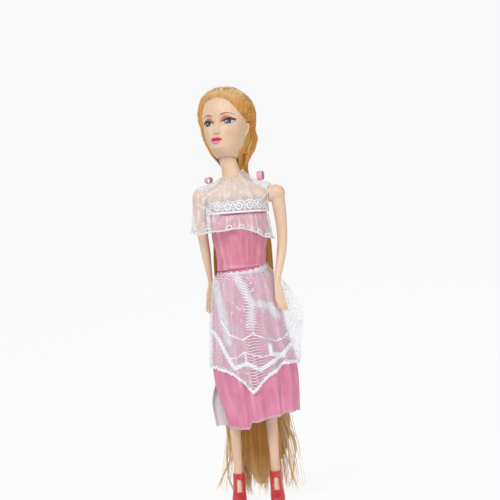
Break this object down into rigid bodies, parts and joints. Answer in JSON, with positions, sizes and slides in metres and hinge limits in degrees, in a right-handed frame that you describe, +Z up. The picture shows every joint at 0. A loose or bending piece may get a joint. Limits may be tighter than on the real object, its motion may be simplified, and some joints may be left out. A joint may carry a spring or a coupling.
{
  "type": "plastic doll",
  "caption": "Slim fashion doll with a turning head, swinging arms and legs, long blond hair, a satin and lace dress and heeled sandals.",
  "frame": {"origin": "middle of the whole doll seen from above, at the floor that its sandals stand on", "axes": "+Z up from the soles to the crown, -Y ahead of the doll, +X towards its left hand"},
  "size_m": [0.077, 0.0472, 0.2938],
  "materials": {
    "face_vinyl": "soft moulded vinyl with painted eyes, brows and lips",
    "body_plastic": "satin moulded plastic, flesh tone",
    "blond_hair": "rooted synthetic fibre, amber blond",
    "pink_satin": "satin weave with soft gloss",
    "white_lace": "knitted lace net",
    "white_organza": "sheer organza",
    "white_lining": "plain woven lining",
    "pink_ribbon": "narrow satin ribbon",
    "pink_thread": "overlocked thread hem",
    "white_thread": "rolled thread edge",
    "white_nylon": "hook and loop tape",
    "red_plastic": "glossy soft plastic"
  },
  "bodies": {
    "torso": {"torso_front": "body_plastic", "torso_back": "body_plastic", "bodice": "pink_satin", "loop_strip": "white_nylon", "hook_strip": "white_nylon", "neckline_lace": "white_lace", "sheer_yoke": "white_organza", "collar_ruffle": "white_organza", "ruffle_edge": "white_thread", "ribbon_left": "pink_ribbon", "ribbon_right": "pink_ribbon", "satin_skirt": "pink_satin", "skirt_hem": "pink_thread", "skirt_back_panel": "white_lining", "lace_overskirt": "white_lace"},
    "head": {"head_shell": "face_vinyl", "hair_cap": "blond_hair", "hair_fall": "blond_hair"},
    "left_arm": {"arm_left": "body_plastic"},
    "right_arm": {"arm_right": "body_plastic"},
    "left_leg": {"leg_left": "body_plastic", "shoe_left": "red_plastic"},
    "right_leg": {"leg_right": "body_plastic", "shoe_right": "red_plastic"}
  },
  "joints": [
    {"name": "neck_turn", "type": "hinge", "parent": "torso", "child": "head", "pos_m": [-0.00781, -0.00101, 0.2432], "axis": [0.0523, 0.139, 0.9889], "range_deg": [-45, 90], "deforming": ["hair_fall"]},
    {"name": "left_arm_swing", "type": "hinge", "parent": "torso", "child": "left_arm", "pos_m": [0.01799, -0.00001, 0.217], "axis": [-1, 0, 0], "range_deg": [-40, 150], "deforming": ["sheer_yoke", "collar_ruffle", "ruffle_edge"]},
    {"name": "right_arm_swing", "type": "hinge", "parent": "torso", "child": "right_arm", "pos_m": [-0.02441, -0.00001, 0.217], "axis": [-1, 0, 0], "range_deg": [-40, 150]},
    {"name": "left_leg_swing", "type": "hinge", "parent": "torso", "child": "left_leg", "pos_m": [0.00279, -0.00101, 0.146], "axis": [-1, 0, 0], "range_deg": [-15, 30], "deforming": ["satin_skirt", "skirt_hem", "skirt_back_panel", "lace_overskirt"]},
    {"name": "right_leg_swing", "type": "hinge", "parent": "torso", "child": "right_leg", "pos_m": [-0.00921, -0.00101, 0.146], "axis": [-1, 0, 0], "range_deg": [-15, 30]}
  ]
}
